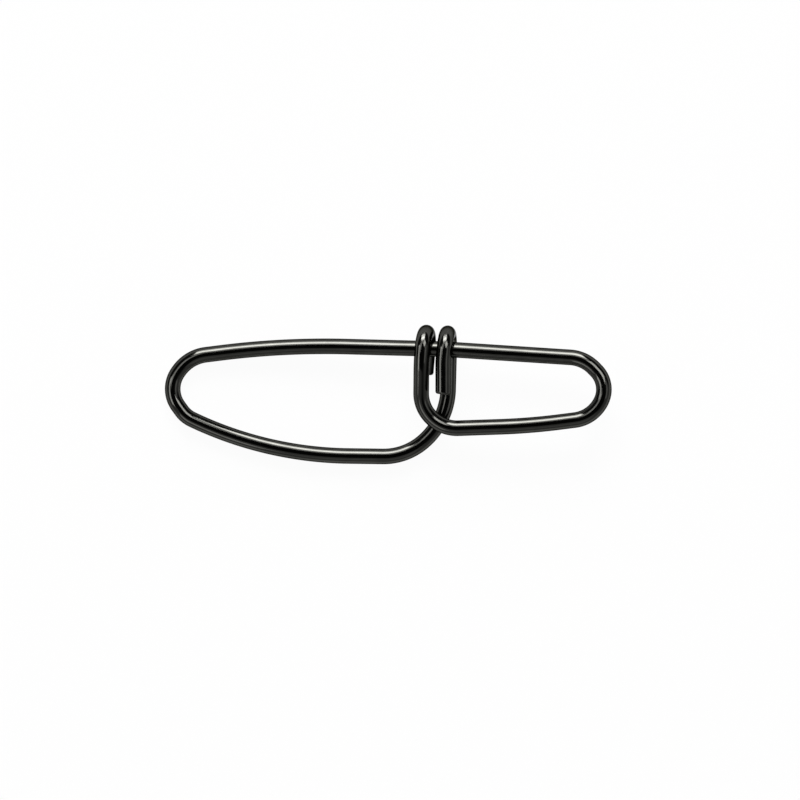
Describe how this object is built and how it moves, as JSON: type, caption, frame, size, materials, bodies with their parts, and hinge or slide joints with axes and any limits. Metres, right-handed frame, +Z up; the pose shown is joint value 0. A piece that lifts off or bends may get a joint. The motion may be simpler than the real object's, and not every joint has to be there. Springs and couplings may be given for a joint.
{
  "type": "crosslock snap",
  "caption": "Fishing snap bent from one round wire: a large loop and a small eye in line, each arm's end hooked over the straight spine to lock.",
  "frame": {"origin": "on the surface the snap lies on, under the middle of its bounding box", "axes": "+X along the spine towards the small eye, +Y across from the lower arms towards the hooks' crowns, +Z up from the surface, towards the side on which the small eye's arm crosses in front"},
  "size_m": [0.036, 0.0112, 0.004],
  "materials": {
    "wire": "polished black nickel plating"
  },
  "bodies": {
    "root": {"snap_wire": "wire"}
  },
  "joints": []
}
